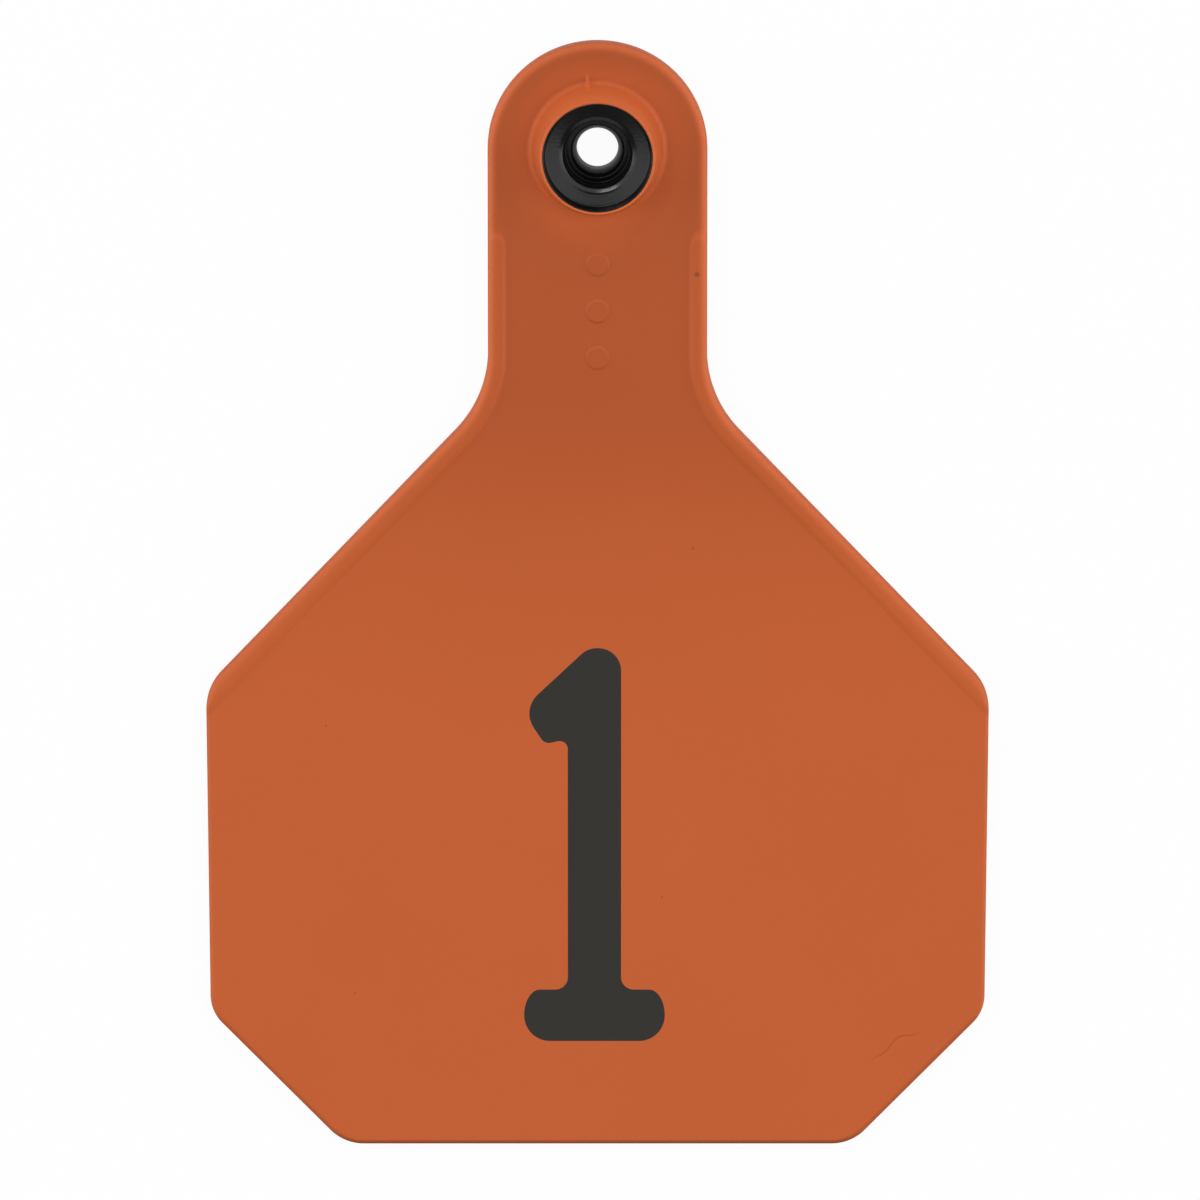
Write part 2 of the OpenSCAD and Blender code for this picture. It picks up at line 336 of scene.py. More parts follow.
tagMesh = {
    "step": 0.7,          # spacing of the stations along straight edges
    "fineStep": 0.16,     # spacing where the band starts and ends
    "headSteps": 44,
    "shoulderSteps": 22,
    "cornerSteps": 14,
    "backSteps": 4,
    "edgeSteps": 9,
    "flatSteps": 20,
    "ringDepth": 2.8,     # how far in the swept rings reach
    "grid": 0.85,         # spacing of the points over the face
    "backGrid": 3,
    "gridRow": 0.866,     # distance between a grid's rows, as a share of its spacing
    "gridClear": 0.5,     # and how far it keeps from the loops
    "backGridClear": 0.4,
    "weld": 1e-6,         # points nearer than this are one
    "sharpAngle": 50,
}

hub = {
    "footR": 7.5,         # where the boss's own rings meet the face
    "baseR": 6.4,
    "rimR": 5.55,
    "filletR": 0.6,
    "lipR": 0.12,
    "innerLipR": 0.05,
    "lipLight": 1.4,      # painted highlight on the thin lip, except on the head's side
    "gap": 0.02,          # between insert and seat
    "turns": 144,
    "collar": 0.05,       # how far the upper half of the boss stands out
    "collarFrom": 0.3,
    "collarRise": 0.35,
    "collarTop": 0.6,
    "collarFall": 0.4,
    "filletSteps": 12,
    "wallSteps": 14,
    "lipSteps": 5,
    "innerLipSteps": 4,
    "toneRise": 0.9,      # height over which the boss takes on its own depth of colour
}

nib = {
    "at": (-0.96, 6.62),  # witness of the moulding gate above the hub
    "wide": 0.25,
    "long": 0.7,
    "high": 0.5,
    "taper": 0.7,
    "light": 1.2,         # painted highlight on the thin ridge
    "fineTurn": 4.5,      # degrees to each side with finer steps
    "fineSteps": 36,
    "upTo": 1.4,          # how far up the boss it runs
    "clear": 0.3,         # and how far it keeps from the seat
}

neckPips = {
    "count": 3,
    "r": 1.1,
    "high": 0.1,
    "pitch": 4.6,
    "start": 11.3,
    "soft": 0.2,
    "turns": 44,
    "rings": (-0.9, -0.5, -0.25, 0, 0.25, 0.5, 0.9),
}

scratch = {
    "route": [(26.9, -90.9), (28.2, -90.1), (28.95, -89.1), (29.7, -88.55), (30.7, -88.5), (31.5, -88.25)],
    "wide": 0.14,
    "deep": 0.045,
    "endStrength": 0.45,  # how strong its ends are
    "rows": (-1.6, -1, -0.5, 0, 0.5, 1, 1.6),
    "step": 0.12,
    "around": 1,          # how far beyond its ends the face may be marked
}

numeral = {
    "serifHigh": 5.2,
    "upperReach": 1.55,   # how far in the serif's rounded ends reach at the top and at the bottom
    "lowerReach": 2.5,
    "steps": 12,
    "weld": 1e-4,
    "levelFrom": 0.9,     # how upright a top face's normal is
    "clear": 0.01,
}

bottomY = panelLow.y
panelT = numberHigh.z
headR = panelHigh.y + tagOutline["headDrop"]
hubTop = panelHigh.z
floorZ = studHoleLen        # top of the seat's floor
seatR = insertHigh.x + hub["gap"]


def faceHeight(y):
    wave = fall(-y, tagThickness["taperStart"], tagThickness["taperStart"] + tagThickness["taperLen"])
    return panelT + (tagThickness["neck"] - panelT) * wave


def routePoints():
    # the scratch's own points, evenly spaced on a smooth curve through its route
    route = [Vector(point) for point in scratch["route"]]
    ends = [2 * route[0] - route[1]] + route + [2 * route[-1] - route[-2]]
    points = []
    for a, b, c, d in zip(ends, ends[1:], ends[2:], ends[3:]):
        steps = max(1, round((c - b).length / scratch["step"]))
        for k in range(steps):
            t = k / steps
            points.append(((2 * b) + (c - a) * t + (2 * a - 5 * b + 4 * c - d) * t ** 2
                           + (3 * b - a - 3 * c + d) * t ** 3) / 2)
    return points + [route[-1]]


scratchLine = routePoints()
pipSpots = [Vector((0, -neckPips["start"] - k * neckPips["pitch"])) for k in range(neckPips["count"])]


def scratchDepth(x, y):
    spot = Vector((x, y))
    distance, k = min(((point - spot).length, k) for k, point in enumerate(scratchLine))
    along = k / (len(scratchLine) - 1)
    ends = scratch["endStrength"]
    strength = ends + (1 - ends) * math.sin(math.pi * along) ** 0.5
    return strength * (1 - smooth(distance / scratch["wide"]))


def nearScratch(x, y):
    low, high, around = scratchLine[0], scratchLine[-1], scratch["around"]
    return low.x - around < x < high.x + around and low.y - around < y < high.y + around


def frontHeight(x, y):
    height = faceHeight(y)
    for spot in pipSpots:
        distance = math.hypot(x - spot.x, y - spot.y)
        height += neckPips["high"] * (1 - smooth((distance - neckPips["r"]) / neckPips["soft"] + 0.5))
    if nearScratch(x, y):
        height -= scratch["deep"] * scratchDepth(x, y)
    return height


# how deep the plastic's colour is, 0 on the thin panel and 1 on the thick neck, with painted shade and
# painted highlights added where light falls on the edges, band and boss
toneAndPaintedLight = {
    "nearFall": (22, 38),   # the neck's depth, partly painted shade, fades out in two waves below the hub
    "farFall": (28, 62),
    "nearShare": 0.5,
    "fanOut": 0.12,         # how much sooner it fades towards the sides
    "band": 0.5,            # share that the raised band takes off, a painted highlight
    "bandLine": 0.3,        # painted highlight along the top of the band's slope
    "edgeFrom": 0.12,
    "edgeTo": 0.85,
    "footEdgeTo": 0.6,      # narrower where the edge faces the foot
    "thickEdge": -0.5,      # depth at the edge of the thick parts; below 0 it is a painted highlight
    "thinEdge": -0.1,
    "footEdge": 2.7,        # painted shade added where the edge faces the foot
    "headEdge": 1,          # and painted shade where it faces the head
    "rim": 1.2,             # painted shade right at the outline
    "rimTo": 0.18,
    "crown": 0.45,          # painted shade again at the top of the head
    "crownFrom": 3,
    "crownLong": 6,
    "hubFootR": 7,          # painted light round the boss's foot, filling the shadow the boss casts on the face
    "hubFootWide": 2.1,
    "hubFootAbove": -0.55,
    "hubFootBeside": -0.65,
    "hubFootBelow": -1.8,
    "hubSlope": 0.25,       # depth on the boss itself, and painted shade at its sides
    "hubSlopeBeside": 0.4,
    "hubLine": 0.3,         # a faint painted shadow ring round the foot of the boss, on the head's side
    "hubLineAt": 6.95,
    "hubLineWide": 0.25,
    "scratch": 0.8,
}


def toneWithPaintedLight(x, y, inset=math.inf, band=0, outY=0):
    tone = toneAndPaintedLight
    # the neck's deeper colour, partly painted shade
    down = -y + tone["fanOut"] * abs(x)
    near, far = fall(down, *tone["nearFall"]), fall(down, *tone["farFall"])
    depth = tone["nearShare"] * near + (1 - tone["nearShare"]) * far
    # painted shade at the top of the head
    depth += tone["crown"] * smooth((y - tone["crownFrom"]) / tone["crownLong"])
    # painted highlight on the raised band and along the top of its slope
    depth *= 1 - tone["band"] * band
    depth -= tone["bandLine"] * 4 * band ** 2 * (1 - band ** 2)
    # painted light round the boss's foot, filling its shadow
    r = math.hypot(x, y) + 0.01  # never zero
    fromHub = max(0, r - tone["hubFootR"]) / tone["hubFootWide"]
    ahead = tone["hubFootAbove"] if y > 0 else tone["hubFootBelow"]
    glow = tone["hubFootBeside"] + (ahead - tone["hubFootBeside"]) * (y / r) ** 2
    depth += glow * math.exp(-fromHub ** 2)
    # a painted shadow ring round the boss's foot, on the head's side
    line = math.exp(-((r - tone["hubLineAt"]) / tone["hubLineWide"]) ** 2)
    depth += tone["hubLine"] * line * (1 + y / r) / 2
    # painted highlights on the edges, with painted shade where they face the foot or the head and right at
    # the outline
    edgeDepth = tone["thinEdge"] + (tone["thickEdge"] - tone["thinEdge"]) * far
    edgeDepth += tone["footEdge"] * max(0, -outY) ** 3 + tone["headEdge"] * max(0, outY) ** 2
    edgeDepth += tone["rim"] * (1 - smooth(inset / tone["rimTo"]))
    edgeTo = tone["edgeTo"] + (tone["footEdgeTo"] - tone["edgeTo"]) * max(0, -outY)
    edge = 1 - smooth((inset - tone["edgeFrom"]) / (edgeTo - tone["edgeFrom"]))
    depth += (edgeDepth - depth) * edge
    # darker along the scratch
    if nearScratch(x, y):
        depth += tone["scratch"] * scratchDepth(x, y)
    return depth


# the outline is a row of stations, each with a point, an outward normal and the zone it lies in

def heading(a, b):
    return math.atan2(b.y - a.y, b.x - a.x)


def wrapped(angle):
    return (angle + math.pi) % (2 * math.pi) - math.pi


def station(zone, at, out, along=0):
    return {"zone": zone, "at": at, "out": out, "along": along}


def turnCorner(zone, before, at, after, radius, steps):
    # a path that runs clockwise keeps its outside on the left
    first = heading(before, at) + math.pi / 2
    turn = wrapped(heading(at, after) - heading(before, at))
    side = 1 if turn < 0 else -1
    centre = at - side * radius / math.cos(turn / 2) * unit(first + turn / 2)
    stations = []
    for k in range(steps + 1):
        out = unit(first + turn * k / steps)
        stations.append(station(zone, centre + side * radius * out, out, k / steps))
    return stations


def straight(zone, start, end, out, step):
    # stations strictly between two points
    steps = max(1, round((end - start).length / step))
    return [station(zone, start.lerp(end, k / steps), out, k / steps) for k in range(1, steps)]


def rightOutline():
    sizes = tagOutline
    neckTop = Vector((headR, -sizes["headDrop"]))
    neckEnd = Vector((headR, -sizes["neckLen"]))
    shoulderEnd = Vector((sizes["shoulderWidth"] / 2, bottomY + sizes["footCutHeight"] + sizes["sideLen"]))
    sideEnd = Vector((sizes["footWidth"] / 2, bottomY + sizes["footCutHeight"]))
    footEnd = Vector((sizes["footWidth"] / 2 - sizes["footCutWidth"], bottomY))
    footMiddle = Vector((0, bottomY))
    step, fine = tagMesh["step"], tagMesh["fineStep"]
    right = Vector((1, 0))
    noseTop = Vector((headR, -edgeBand["noseTop"]))
    noseEnd = Vector((headR, -edgeBand["noseTop"] - edgeBand["noseLen"]))

    head = []
    for k in range(tagMesh["headSteps"] + 1):
        out = unit(math.pi / 2 * (1 - k / tagMesh["headSteps"]))
        head.append(station("head", Vector((0, -sizes["headDrop"])) + headR * out, out))
    many, few = tagMesh["shoulderSteps"], tagMesh["cornerSteps"]
    fillet = turnCorner("fillet", neckTop, neckEnd, shoulderEnd, sizes["shoulderFilletR"], many)
    corner = turnCorner("corner", neckEnd, shoulderEnd, sideEnd, sizes["shoulderCornerR"], many)
    sideCorner = turnCorner("plain", shoulderEnd, sideEnd, footEnd, sizes["sideCornerR"], few)
    footCorner = turnCorner("plain", sideEnd, footEnd, footMiddle, sizes["footCornerR"], few)

    bandEnd = corner[-1]["at"] + edgeBand["sideRun"] * (sideEnd - shoulderEnd).normalized()
    sideOut = corner[-1]["out"]
    stations = head
    stations += straight("head", neckTop, noseTop, right, step)
    stations += [station("nose", noseTop, right, 0)]
    stations += straight("nose", noseTop, noseEnd, right, fine)
    stations += [station("neck", noseEnd, right)]
    stations += straight("neck", noseEnd, fillet[0]["at"], right, step)
    stations += fillet
    stations += straight("shoulder", fillet[-1]["at"], corner[0]["at"], fillet[-1]["out"], step)
    stations += corner
    stations += straight("side", corner[-1]["at"], bandEnd, sideOut, fine)
    stations += [station("side", bandEnd, sideOut)]
    stations += straight("plain", bandEnd, sideCorner[0]["at"], sideOut, step)
    stations += sideCorner
    stations += straight("plain", sideCorner[-1]["at"], footCorner[0]["at"], sideCorner[-1]["out"], step)
    stations += footCorner
    stations += straight("plain", footCorner[-1]["at"], footMiddle, footCorner[-1]["out"], step)
    stations += [station("plain", footMiddle, Vector((0, -1)))]
    return stations, corner[0]


def bandAt(spot, shoulder):
    # inset where the band's slope starts and ends, its height share, and the front edge's radius
    band = edgeBand
    shoulderEnd = band["shoulderInner"] + band["shoulderSlope"]
    neckEnd = band["neckInner"] + band["neckSlope"]
    edgeR, panelR = tagThickness["edgeR"], tagThickness["panelEdgeR"]
    zone, along = spot["zone"], spot["along"]
    if zone == "head":
        return band["neckInner"], neckEnd, 0, edgeR
    if zone == "nose":
        grow = math.sqrt(1 - (1 - along) ** 2)
        start = band["noseInner"] + (band["neckInner"] - band["noseInner"]) * grow
        slope = band["noseSlope"] + (band["neckSlope"] - band["noseSlope"]) * grow
        return start, start + slope, smooth(along * band["noseRise"]), edgeR
    if zone == "neck":
        return band["neckInner"], neckEnd, 1, edgeR
    if zone == "fillet":
        share = smooth(along)
        return (band["neckInner"] + (band["shoulderInner"] - band["neckInner"]) * share,
                neckEnd + (shoulderEnd - neckEnd) * share, 1, edgeR)
    if zone == "plain":
        return 0, 1, 0, panelR
    # the slope runs straight on past the shoulder corner and out at the side
    below = shoulder["out"].dot(shoulder["at"] - spot["at"])
    lean = shoulder["out"].dot(spot["out"])
    radius = edgeR
    if zone == "corner":
        radius += (panelR - edgeR) * smooth(along)
    if zone == "side":
        radius = panelR
    return (band["shoulderInner"] - below) / lean, (shoulderEnd - below) / lean, 1, radius


def fullOutline():
    half, shoulder = rightOutline()
    for spot in half:
        spot["bandStart"], spot["bandEnd"], spot["share"], spot["edgeR"] = bandAt(spot, shoulder)
    flip = Vector((-1, 1))
    other = []
    for spot in half[-2:0:-1]:
        twin = dict(spot)
        twin["at"] = spot["at"] * flip
        twin["out"] = spot["out"] * flip
        other.append(twin)
    return half + other


def bandHeight(spot, inset):
    part = (inset - spot["bandStart"]) / (spot["bandEnd"] - spot["bandStart"])
    return edgeBand["height"] * spot["share"] * (1 - smooth(part))


def sectionOf(spot):
    # the edge's cross-section from the back face round to the front face, as (x, y, z, depth of colour with
    # painted light and shade)
    rows = []
    backR, r = tagThickness["backEdgeR"], spot["edgeR"]

    def put(inset, z=None, drop=0):
        x, y = spot["at"] - inset * spot["out"]
        band = bandHeight(spot, inset)
        if z is None:
            z = faceHeight(y) + band - drop
        rows.append((x, y, z, toneWithPaintedLight(x, y, inset, band / edgeBand["height"], spot["out"].y)))

    for k in range(tagMesh["backSteps"] + 1):
        turn = math.pi / 2 * k / tagMesh["backSteps"]
        put(backR * (1 - math.sin(turn)), z=backR * (1 - math.cos(turn)))
    for k in range(tagMesh["edgeSteps"] + 1):
        turn = math.pi / 2 * k / tagMesh["edgeSteps"]
        put(r * (1 - math.cos(turn)), drop=r * (1 - math.sin(turn)))
    for k in range(1, tagMesh["flatSteps"] + 1):
        put(r + (tagMesh["ringDepth"] - r) * k / tagMesh["flatSteps"])
    return rows


# a mesh being made: points in millimetres, each with its tone, and faces by index

class Draft:
    def __init__(self):
        self.points = []
        self.tones = []
        self.faces = []

    def add(self, x, y, z, tone=0):
        self.points.append((x, y, z))
        self.tones.append(tone)
        return len(self.points) - 1

    def joinLoops(self, lower, upper, clockwise=True):
        # a wall between two closed loops
        if not clockwise:
            lower, upper = lower[::-1], upper[::-1]
        count = len(lower)
        for i in range(count):
            j = (i + 1) % count
            self.faces.append((lower[i], upper[i], upper[j], lower[j]))

    def toObject(self, name):
        mesh = bpy.data.meshes.new(name)
        mesh.from_pydata([(x * mm, y * mm, z * mm) for x, y, z in self.points], [], self.faces)
        layer = mesh.attributes.new("tone", "FLOAT", "POINT")
        layer.data.foreach_set("value", self.tones)
        mesh.shade_smooth()
        mesh.set_sharp_from_angle(angle=math.radians(tagMesh["sharpAngle"]))
        thing = addObject(name, mesh)
        normals = thing.modifiers.new("faceNormals", "WEIGHTED_NORMAL")
        normals.keep_sharp = True
        return thing


def insideLoop(spots, loop):
    # for each spot, whether it lies inside a closed loop
    inside = np.zeros(len(spots), bool)
    x, y = spots[:, 0], spots[:, 1]
    for a, b in zip(loop, np.roll(loop, -1, axis=0)):
        crosses = (a[1] > y) != (b[1] > y)
        if crosses.any():
            rise = b[1] - a[1] + 1e-12  # never zero
            reach = (b[0] - a[0]) * (y - a[1]) / rise + a[0]
            inside ^= crosses & (x < reach)
    return inside


def gridSpots(outer, holes, spacing, clear):
    # a staggered grid inside the outer loop and outside the holes, kept clear of all their points
    low, high = outer.min(axis=0), outer.max(axis=0)
    rowSpacing = spacing * tagMesh["gridRow"]
    rows = int((high[1] - low[1]) / rowSpacing) + 1
    columns = int((high[0] - low[0]) / spacing) + 2
    spots = np.array([(low[0] + (i + 0.5 * (j % 2)) * spacing, low[1] + j * rowSpacing)
                      for j in range(rows) for i in range(columns)])
    keep = insideLoop(spots, outer)
    for hole in holes:
        keep &= ~insideLoop(spots, hole)
    marks = np.concatenate([outer] + holes)
    tree = kdtree.KDTree(len(marks))
    for index, (x, y) in enumerate(marks):
        tree.insert((x, y, 0), index)
    tree.balance()
    return [spot for spot in spots[keep] if tree.find((spot[0], spot[1], 0))[2] > clear]


def loopOf(draft, ids):
    return np.array([draft.points[i][:2] for i in ids])


def fillBetween(draft, outerIds, holeIds, extraIds, up=True):
    # triangles between an outer loop and its holes, through the extra points
    used = outerIds + [i for hole in holeIds for i in hole] + extraIds
    flat = [Vector(draft.points[i][:2]) for i in used]
    edges = []
    start = 0
    for loop in [outerIds] + holeIds:
        edges += [(start + k, start + (k + 1) % len(loop)) for k in range(len(loop))]
        start += len(loop)
    spots, _, faces, origins, _, _ = delaunay_2d_cdt(flat, edges, [], 1, tagMesh["weld"], True)
    centres = np.array([[sum(spots[i][axis] for i in face) / 3 for axis in (0, 1)] for face in faces])
    keep = insideLoop(centres, loopOf(draft, outerIds))
    for hole in holeIds:
        keep &= ~insideLoop(centres, loopOf(draft, hole))
    for face, wanted in zip(faces, keep):
        if wanted:
            ids = [used[origins[i][0]] for i in face]
            draft.faces.append(tuple(ids if up else reversed(ids)))


def numberLoop():
    # the numeral's outline, read from its own solid and run anticlockwise
    work = bmesh.new()
    work.from_mesh(frame["nodes"]["printed_number"].data)
    bmesh.ops.remove_doubles(work, verts=work.verts, dist=numeral["weld"] * mm)
    work.normal_update()
    top = [face for face in work.faces if face.normal.z > numeral["levelFrom"]]
    following = {}
    for face in top:
        for loop in face.loops:
            if not any(other in top and other is not face for other in loop.edge.link_faces):
                following[loop.vert] = loop.link_loop_next.vert
    start = vert = next(iter(following))
    outline = []
    while True:
        outline.append((vert.co.x / mm, vert.co.y / mm))
        vert = following[vert]
        if vert is start:
            break
    work.free()
    return outline


def serifEnd(side):
    # one rounded end of the foot serif, from its lower corner to its upper one
    half, steps = numeral["serifHigh"] / 2, numeral["steps"]
    tip = numberHigh.x if side > 0 else numberLow.x
    spots = []
    for k in range(-steps, steps + 1):
        turn = math.pi / 2 * k / steps
        reach = numeral["upperReach"] if k > 0 else numeral["lowerReach"]
        spots.append((tip - side * reach * (1 - math.cos(turn)), numberLow.y + half * (1 + math.sin(turn))))
    return spots


def roundedNumber():
    # the solid's outline with fuller ends to its serif
    outline = numberLoop()
    first = max(range(len(outline)), key=lambda k: outline[k][1])
    shaped = []
    side = 0
    for x, y in outline[first:] + outline[:first]:
        before = side
        low = y < numberLow.y + numeral["serifHigh"] + numeral["clear"]
        side = low * ((x > numberHigh.x - numeral["lowerReach"]) - (x < numberLow.x + numeral["lowerReach"]))
        if side == 0:
            shaped.append((x, y))
        elif side != before:
            ends = serifEnd(side)
            shaped += ends if side > 0 else ends[::-1]
    return shaped


def hubTurns():
    # angles round the hub, finer at the nib
    middle = math.degrees(math.atan2(nib["at"][1], nib["at"][0]))
    coarse = [k * 360 / hub["turns"] for k in range(hub["turns"])]
    turns = [a for a in coarse if abs(a - middle) > nib["fineTurn"]]
    steps = nib["fineSteps"]
    turns += [middle + nib["fineTurn"] * (2 * k / steps - 1) for k in range(steps + 1)]
    return [math.radians(a) for a in sorted(turns)]


def arcSpots(r, z, radius, start, end, steps):
    # points on an arc in a profile, between two angles in degrees
    spots = []
    for k in range(steps + 1):
        spot = Vector((r, z)) + radius * unit(math.radians(start + (end - start) * k / steps))
        spots.append((spot.x, spot.y))
    return spots


def hubProfile():
    # from the foot of the boss up over its rim and down the seat to the back, as (radius, height)
    top, face = hubTop, tagThickness["neck"]
    lean = math.atan((hub["baseR"] - hub["rimR"]) / (top - face))
    fillet = hub["filletR"]
    # the fillet touches both the face and the sloping wall
    centreR = hub["baseR"] + fillet * (1 / math.cos(lean) - math.tan(lean))
    turn = math.degrees(lean)
    profile = [(hub["footR"], face)]
    profile += arcSpots(centreR, face + fillet, fillet, 270, 180 + turn, hub["filletSteps"])
    lowR, lowZ = profile[-1]
    lip, inner = hub["lipR"], hub["innerLipR"]
    rounding = arcSpots(hub["rimR"] - lip, top - lip, lip, turn, 90, hub["lipSteps"])
    highR, highZ = rounding[0]
    steps = hub["wallSteps"]
    for k in range(1, steps):
        share = k / steps
        rise = smooth((share - hub["collarFrom"]) / hub["collarRise"])
        swell = hub["collar"] * rise * (1 - smooth((share - hub["collarTop"]) / hub["collarFall"]))
        profile.append((lowR + (highR - lowR) * share + swell, lowZ + (highZ - lowZ) * share))
    profile += rounding
    profile += arcSpots(seatR + inner, top - inner, inner, 90, 180, hub["innerLipSteps"])
    profile += [(seatR, (top + floorZ) / 2), (seatR, floorZ)]
    noseR = insertShape["noseR"] + hub["gap"]
    profile += [(noseR, floorZ), (noseR, 0)]
    return profile


def nibHeight(x, y):
    dx, dy = x - nib["at"][0], y - nib["at"][1]
    narrow = nib["wide"] * (1 - nib["taper"] * min(1, max(-1, dy / nib["long"])))
    ridge = 1 - smooth(abs(dx) / narrow)
    return nib["high"] * ridge * (1 - smooth(abs(dy) / nib["long"]))


numberOutline = roundedNumber()


def buildTag():
    draft = Draft()
    outline = fullOutline()
    sections = [sectionOf(spot) for spot in outline]
    rings = []
    for row in zip(*sections):
        rings.append([draft.add(*point) for point in row])
    for lower, upper in zip(rings, rings[1:]):
        draft.joinLoops(lower, upper)
    backRing, frontRing = rings[0], rings[-1]

    # the hub, turned about its axis
    turns = hubTurns()
    hubRings = []
    for r, z in hubProfile():
        ring = []
        for turn in turns:
            x, y = r * unit(turn)
            above = z - tagThickness["neck"]
            lift = nibHeight(x, y) if above < nib["upTo"] and r > seatR + nib["clear"] else 0
            onSlope = smooth(above / hub["toneRise"])
            # the boss's own depth of colour, with painted shade at its sides
            slopeDepth = toneAndPaintedLight["hubSlope"] + toneAndPaintedLight["hubSlopeBeside"] * (x / r) ** 2
            depth = toneWithPaintedLight(x, y) * (1 - onSlope) + slopeDepth * onSlope
            # painted highlight on the nib
            depth -= nib["light"] * lift / nib["high"]
            # painted highlight on the lip, except on the head's side
            if z > hubTop - hub["lipR"]:
                depth -= hub["lipLight"] * (1 - max(0, y / r))
            ring.append(draft.add(x, y, z + lift, depth))
        hubRings.append(ring)
    for outer, inner in zip(hubRings, hubRings[1:]):
        draft.joinLoops(outer, inner, clockwise=False)

    # the recess that the numeral's ink fills
    recessTop = [draft.add(x, y, frontHeight(x, y), toneWithPaintedLight(x, y)) for x, y in numberOutline]
    recessLow = [draft.add(x, y, numberLow.z, 0) for x, y in numberOutline]
    draft.joinLoops(recessTop, recessLow, clockwise=False)
    fillBetween(draft, recessLow, [], [])

    # the front face, with rings of points at the pips and along the scratch
    special = []
    pipTurns = fullTurn(neckPips["turns"])
    for spot in pipSpots:
        for share in neckPips["rings"]:
            r = neckPips["r"] + share * neckPips["soft"]
            special += [spot + r * unit(turn) for turn in pipTurns]
    for k, point in enumerate(scratchLine):
        ahead = scratchLine[min(k + 1, len(scratchLine) - 1)] - scratchLine[max(k - 1, 0)]
        across = Vector((-ahead.y, ahead.x)).normalized()
        special += [point + share * scratch["wide"] * across for share in scratch["rows"]]
    holes = [recessTop, hubRings[0]]
    outer = loopOf(draft, frontRing)
    holeLoops = [loopOf(draft, hole) for hole in holes]
    grid = gridSpots(outer, holeLoops + [np.array([tuple(spot) for spot in special])], tagMesh["grid"],
                     tagMesh["gridClear"] * tagMesh["grid"])
    extra = [draft.add(x, y, frontHeight(x, y), toneWithPaintedLight(x, y)) for x, y in list(grid) + special]
    fillBetween(draft, frontRing, holes, extra)

    # the back face, flat, with the hole for the insert's nose
    grid = gridSpots(loopOf(draft, backRing), [loopOf(draft, hubRings[-1])], tagMesh["backGrid"],
                     tagMesh["backGridClear"] * tagMesh["backGrid"])
    extra = [draft.add(x, y, 0, toneWithPaintedLight(x, y)) for x, y in grid]
    fillBetween(draft, backRing, [hubRings[-1]], extra, up=False)

    tag = draft.toObject("mouldedTag")
    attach(tag, "root")
    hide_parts("tag_panel")
    return tag


def buildNumber():
    # the film of ink, level with the face
    draft = Draft()
    top = [draft.add(x, y, numberHigh.z) for x, y in numberOutline]
    low = [draft.add(x, y, numberLow.z) for x, y in numberOutline]
    draft.joinLoops(low, top, clockwise=False)
    fillBetween(draft, top, [], [])
    fillBetween(draft, low, [], [], up=False)
    number = draft.toObject("inkNumber")
    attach(number, "root")
    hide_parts("printed_number")
    return number


# the hard locking insert

insertShape = {
    "noseR": 3.0,         # the nose that passes through the seat's floor
    "rimT": 0.1,
    "rimRound": 0.045,
    "rimDraft": 6,        # degrees that the rim's inner wall leans out
    "faceDepth": 1.4,     # from the rim down to the face's outer corner
    "faceCornerR": 0.12,
    "dish": 8,            # degrees that the face falls towards the mouth
    "mouthR": 3.35,
    "mouthChamfer": 0.4,  # length of the bevel on the mouth's edge
    "mouthBevel": 26,     # degrees that it falls
    "mouthEdgeR": 0.12,
    "mouthDepth": 1.1,
    "step": 0.2,          # width of the step at the foot of the mouth
    "stepRound": 0.07,
    "floorFall": 7,       # degrees that the well's floor falls away from the hole's entry
    "wellCornerR": 0.1,
    "flareR": 2.9,        # the stud hole's rounded entry
    "flareTurn": 37,      # degrees that it turns outwards
    "flareLip": 0.08,
    "noseRound": 0.12,
    "backChamfer": 0.1,
    "turns": 144,
    "fewSteps": 4,
    "someSteps": 6,
    "manySteps": 8,
    "bevelSteps": 3,
    "lipSteps": 5,
    "flareSteps": 12,
}

insertFinish = {
    "colour": (10, 9, 9),
    "roughness": 0.2,
    "roughnessSpread": 0.1,
    "specular": 0.5,
    "wellSpecular": 0.04,
    "floorDull": 0.6,     # share of the well's dull painted shade on its floor
    "grainScale": 3800,
    "grainBump": 0.012,
    "driftScale": 90,
    "drift": 0.1,
}


